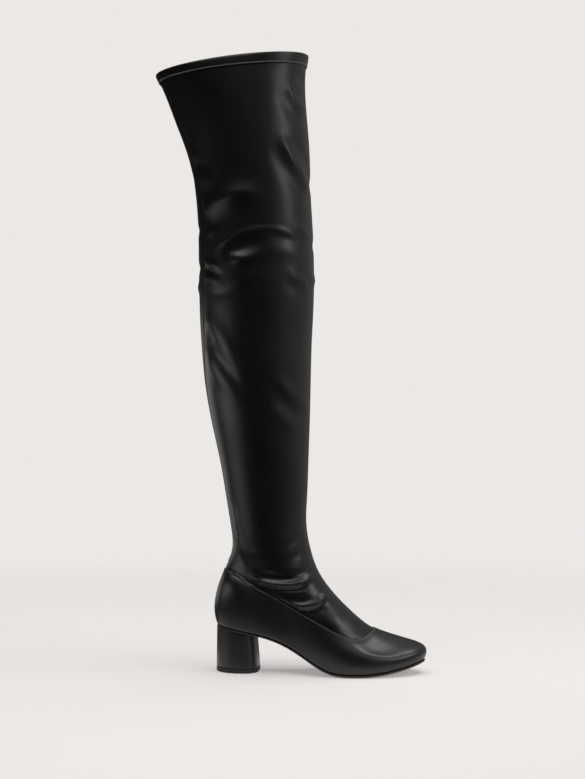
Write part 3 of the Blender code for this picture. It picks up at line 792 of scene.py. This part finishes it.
# %% [markdown]
# The band is sewn with a zigzag, so that the seam can stretch with the leather. Every other stitch slants the
# other way. Rays that run inwards from all sides, a little above the band's lower edge, find the seam's path.

# %% The zigzag of the collar
ZIGZAG_ABOVE_EDGE = 1.9
ZIGZAG_RAYS = 240
ZIGZAG = {"pitch": 1.7, "length": 2.4, "radius": 0.32, "slant": 40}

zigzag_path = []
for step in range(ZIGZAG_RAYS):
    bearing = 2 * math.pi * step / ZIGZAG_RAYS
    away = Vector((math.cos(bearing), math.sin(bearing), 0))
    middle = Vector((*BAND_MIDDLE[:2], band_edge_at(bearing) + ZIGZAG_ABOVE_EDGE * MM))
    hit = band_surface.ray_cast(middle + away * OUTSIDE * MM, -away)[0]
    if hit:
        zigzag_path.append(hit)
print("places found on the band:", len(zigzag_path))
sewn_row("collar_zigzag", "stretch_leather", band_surface, zigzag_path, **ZIGZAG)

# %% [markdown]
# The foot's edge is folded to a fine bead, which catches the light as a thin line, and it is sewn down on
# the shaft with a row of short stitches just below. Both have to follow the edge exactly, so they are read
# from the foot's own cage: the rim is an edge loop, found by stepping from vertex to vertex across quads.
# The bead is laid on it, and the stitches a little below it.

# %% The bead and the stitches along the foot's edge
BEAD_RADIUS = 0.45
TOP_STITCH_BELOW_EDGE = 1.7
TOP_STITCHES = {"pitch": 2.6, "length": 1.9, "radius": 0.22, "slant": 0}
PLACES_PER_RIB = 4  # of the stitches' path, between one rib of the cage and the next


def rim_and_below(cage):
    """Vertices of the rim loop, each with its neighbour further down the outer face."""
    cage.verts.ensure_lookup_table()
    top = max(cage.verts, key=lambda v: v.co.z)
    edge = max(top.link_edges, key=lambda e: abs(e.other_vert(top).co.y - top.co.y))
    loop = [top]
    rims = []
    vertex = edge.other_vert(top)
    while vertex is not top:
        loop.append(vertex)
        rims.append(edge)
        onward = [e for e in vertex.link_edges if not set(e.link_faces) & set(edge.link_faces)]
        edge = onward[0]
        vertex = edge.other_vert(vertex)
    rims.append(edge)
    pairs = []
    for vertex in loop:
        others = [e.other_vert(vertex) for e in vertex.link_edges if e not in rims]
        below = max(others, key=lambda v: (v.co - vertex.co).length)
        pairs.append((vertex.co.copy(), below.co.copy()))
    return pairs


rim_cage = cage_of("upper")
stitch_path = []
bead_path = []
for rim, below in rim_and_below(rim_cage):
    stitch_path.append(rim + (below - rim).normalized() * TOP_STITCH_BELOW_EDGE * MM)
    bead_path.append(laid_on(foot_surface, rim, 0)[0])
rim_cage.free()
cord("top_line_bead", [*bead_path, bead_path[0]], BEAD_RADIUS, calf_leather)
fine_path = []
for index, place in enumerate(stitch_path):
    following = stitch_path[(index + 1) % len(stitch_path)]
    fine_path += [place.lerp(following, step / PLACES_PER_RIB) for step in range(PLACES_PER_RIB)]
sewn_row("top_line_stitches", "calf_leather", foot_surface, fine_path, **TOP_STITCHES)

# %% [markdown]
# The heel is a moulded block covered in the same calf. The cover is drawn round the block and turned in at
# its top and bottom, so the edges are slightly round. Under it sits the top lift, a plate of hard black
# rubber that takes the wear.

# %% The heel and its lift
HEEL_EDGE_ROUND = 0.6
LIFT_EDGE_ROUND = 0.25

piece_from(
    subdivided(round_edges(cage_of("heel"), HEEL_EDGE_ROUND), 2), "heel_cover", "heel",
    [calf_leather],
)
# Compression moulded nitrile rubber: dense and matt, with a fine stipple from the mould.
rubber = speckled(
    "moulded_nitrile_rubber", "#0E0E0E", "#1C1B1A", size=1.0, detail=4.0, bump=0.5, depth=0.06,
    shader_values={"Roughness": 0.62, "IOR": 1.52},
)
piece_from(
    subdivided(round_edges(cage_of("top_lift"), LIFT_EDGE_ROUND), 2), "top_lift_skin",
    "top_lift", [rubber],
)

# %% [markdown]
# The outsole is a thin sole of dense leather board. Its edge is inked and waxed black, and its underside is
# buffed and stained. The sole is coloured a lighter warm grey than that, partly its dark stain and partly a
# painted reflection of the floor along its edge. The insole is covered with a soft sock lining. Both keep the
# frame's shape.

# %% The outsole and insole
# Sole leather, stained dark and waxed, with long soft streaks from the buffing wheel. Its warm grey is
# lighter than the stain alone, a painted reflection that draws a thin light line along the edge.
sole_leather = speckled(
    "waxed_sole_leather_and_painted_reflection", "#2A2522", "#3E3731", size=3.0, detail=4.0, bump=0.4, depth=0.06,
    shader_values={"Roughness": 0.46, "Coat Weight": 0.15, "Coat Roughness": 0.3}, stretch=(0.15, 1.0, 1.0),
)
piece_from(subdivided(cage_of("outsole"), 2), "outsole_skin", "outsole", [sole_leather])
# Suede sock lining: the soft, matt flesh side of a split hide.
sock_leather = leather(
    "suede_sock_lining", "#1C1A19", "#262322",
    roughness=0.72, grain=0.9, grain_depth=0.05, crease=6, crease_depth=0.05, coat=0.0,
)
piece_from(subdivided(cage_of("insole"), 1), "insole_skin", "insole", [sock_leather])

# %% [markdown]
# The studio: a plain pale floor that runs out into an equally pale background, so no horizon shows. The
# floor is a disc of matt board that fades out at its rim, and the sky that the camera sees has the same
# colour. In the leather's gloss the board fades out sooner, as a small table in a dark studio would. The
# board glows a little, like a light table, so that the shadow under the arch stays soft and grey.

# %% The floor
FLOOR_RADIUS = 1400
FLOOR_FADES = (450, 1250)  # mm from the heel between which the board fades out
MIRRORED_FLOOR_FADES = (70, 150)  # the same in the leather's gloss, from the foot's middle
FOOT_MIDDLE = 80
FOOT_SHARE = 0.45  # a step along the foot counts for less, because the foot is longer than it is wide
FLOOR_COLOUR = "#EFEBE8"
FLOOR_GLOW = 0.40  # share of the board that glows instead of being lit
GLOW_OF_BOARD = 0.95
BACKDROP_COLOUR = "#ECE8E5"


def floor_finish():
    """Matt painted board that fades to nothing towards its rim."""
    material, tree, output = new_finish("matt_painted_board")
    place = add(tree, "ShaderNodeTexCoord").outputs["Object"]
    around = add(
        tree, "ShaderNodeMapping",
        {"Location": (-FOOT_MIDDLE * FOOT_SHARE * MM, 0, 0), "Scale": (FOOT_SHARE, 1, 1)}, {"Vector": place},
    ).outputs["Vector"]
    from_foot = add(tree, "ShaderNodeVectorMath", {}, {0: around}, operation="LENGTH").outputs["Value"]
    distance = add(tree, "ShaderNodeVectorMath", {}, {0: place}, operation="LENGTH").outputs["Value"]
    fades = []
    for measured, (near, far) in ((distance, FLOOR_FADES), (from_foot, MIRRORED_FLOOR_FADES)):
        grows = add(
            tree, "ShaderNodeMapRange", {"From Min": near * MM, "From Max": far * MM}, {"Value": measured},
            interpolation_type="SMOOTHSTEP",
        )
        fades.append(grows.outputs["Result"])
    mirrored = add(tree, "ShaderNodeLightPath").outputs["Is Glossy Ray"]
    fade = add(tree, "ShaderNodeMix", {}, {0: mirrored, 2: fades[0], 3: fades[1]})
    paint = add(tree, "ShaderNodeBsdfDiffuse", {"Color": srgb(FLOOR_COLOUR)})
    glow = add(tree, "ShaderNodeEmission", {"Color": srgb(FLOOR_COLOUR), "Strength": GLOW_OF_BOARD})
    board = add(
        tree, "ShaderNodeMixShader", {0: FLOOR_GLOW}, {1: paint.outputs["BSDF"], 2: glow.outputs["Emission"]}
    )
    clear = add(tree, "ShaderNodeBsdfTransparent")
    mixed = add(
        tree, "ShaderNodeMixShader", {},
        {0: fade.outputs[0], 1: board.outputs["Shader"], 2: clear.outputs["BSDF"]},
    )
    tree.links.new(mixed.outputs["Shader"], output.inputs["Surface"])
    return material


disc = bmesh.new()
bmesh.ops.create_circle(disc, cap_ends=True, segments=96, radius=FLOOR_RADIUS * MM)
floor = bpy.data.objects.new("floor", mesh_from(disc, "floor"))
floor.data.materials.append(floor_finish())
bpy.context.scene.collection.objects.link(floor)
print("the floor fades out from", FLOOR_FADES[0], "to", FLOOR_FADES[1], "mm")

# %% [markdown]
# Gloss is what the light is for. Black leather shows almost nothing of its own colour, so its shape is
# drawn by what it mirrors. The sky holds one wide soft glow to the right, which grows slowly from the dark
# camera side and draws the bright front of the leg. It could be a huge soft box, but a glow has no edge to
# show as a line. Overhead the sky is a dim dome, as a white ceiling is, and near the floor it is almost
# black.

# %% The sky
GLOW_TO = Vector((0.93, 0.33, 0.15)).normalized()
GLOW_GATHERS = 3.5  # the higher this power, the closer the glow gathers round its middle
GLOW_STRENGTH = 0.36
SKY_STRENGTH = 0.02
DOME_STRENGTH = 0.4
DOME_FROM = 0.5  # height on a sky of radius 1, so 30 degrees up

world = bpy.data.worlds.new("studio")
world.use_nodes = True
sky = world.node_tree
sky.nodes.clear()
looking = add(sky, "ShaderNodeTexCoord").outputs["Generated"]
towards = add(
    sky, "ShaderNodeVectorMath", {1: tuple(GLOW_TO)}, {0: looking}, operation="DOT_PRODUCT"
).outputs["Value"]
share = add(
    sky, "ShaderNodeMapRange", {"From Min": -1.0, "From Max": 1.0}, {"Value": towards}
).outputs["Result"]
gathered = add(
    sky, "ShaderNodeMath", {1: GLOW_GATHERS}, {0: share}, operation="POWER"
).outputs["Value"]
height = add(sky, "ShaderNodeSeparateXYZ", {}, {0: looking}).outputs["Z"]
dome = add(
    sky, "ShaderNodeMapRange",
    {"From Min": DOME_FROM, "From Max": 1.0, "To Min": SKY_STRENGTH, "To Max": DOME_STRENGTH},
    {"Value": height}, interpolation_type="SMOOTHSTEP",
).outputs["Result"]
strength = add(
    sky, "ShaderNodeMath", {1: GLOW_STRENGTH}, {0: gathered, 2: dome}, operation="MULTIPLY_ADD"
).outputs["Value"]
seen = add(sky, "ShaderNodeBackground", {"Color": srgb(BACKDROP_COLOUR), "Strength": 1.0})
felt = add(sky, "ShaderNodeBackground", {"Color": srgb("#FFFFFF")}, {"Strength": strength})
path_kind = add(sky, "ShaderNodeLightPath")
both = add(
    sky, "ShaderNodeMixShader", {},
    {
        0: path_kind.outputs["Is Camera Ray"],
        1: felt.outputs["Background"],
        2: seen.outputs["Background"],
    },
)
add(sky, "ShaderNodeOutputWorld", {}, {"Surface": both.outputs["Shader"]})
bpy.context.scene.world = world
glow_turn = math.degrees(math.atan2(GLOW_TO.y, GLOW_TO.x))
print("the glow lies", round(glow_turn), "degrees from the toe's direction, towards the inner side")

# %% [markdown]
# Soft boxes do the rest. A large one overhead lights the floor alone. A long strip, high in front, draws
# the thin bright line on each fold, and a small box high on the right the spot on the toe. A box to the
# right draws the broad grey of the instep, a weak one beside it the glow along the thigh's front, and two
# low ones to the left the calf and the heel. These four have a honeycomb grid in front, which keeps their
# light together, so that the back of the thigh stays black.

# %% The soft boxes
bpy.context.scene.view_settings.view_transform = "Standard"
SOFT_BOXES = (
    # name, place in mm, aim in mm, width, height, watts, spread in degrees, seen in gloss
    ("floor_box", (150, 150, 2100), (150, 0, 0), 2200, 2000, 29.5, 180, False),
    ("front_strip", (-200, -750, 1430), (60, 0, 200), 1300, 280, 4.4, 180, True),
    ("toe_box", (990, -70, 1760), (190, 0, 40), 400, 400, 3.6, 180, True),
    ("instep_box", (1177, -697, 877), (110, -30, 60), 1500, 560, 0.4, 40, True),
    ("thigh_box", (1323, -507, 962), (70, 0, 600), 500, 500, 0.14, 60, True),
    ("left_box", (-750, -350, 190), (20, 0, 240), 900, 420, 0.2, 60, True),
    ("back_left_box", (-700, 500, 190), (20, 0, 240), 800, 420, 0.10, 60, True),
)
for name, place, aim, width, height, watts, spread, in_gloss in SOFT_BOXES:
    light = bpy.data.lights.new(name, "AREA")
    light.shape = "RECTANGLE"
    light.size = width * MM
    light.size_y = height * MM
    light.energy = watts
    light.spread = math.radians(spread)
    lamp = bpy.data.objects.new(name, light)
    lamp.location = Vector(place) * MM
    lamp.rotation_euler = (Vector(aim) - Vector(place)).to_track_quat("-Z", "Y").to_euler()
    lamp.visible_camera = False
    lamp.visible_glossy = in_gloss
    bpy.context.scene.collection.objects.link(lamp)
print(len(SOFT_BOXES), "soft boxes")
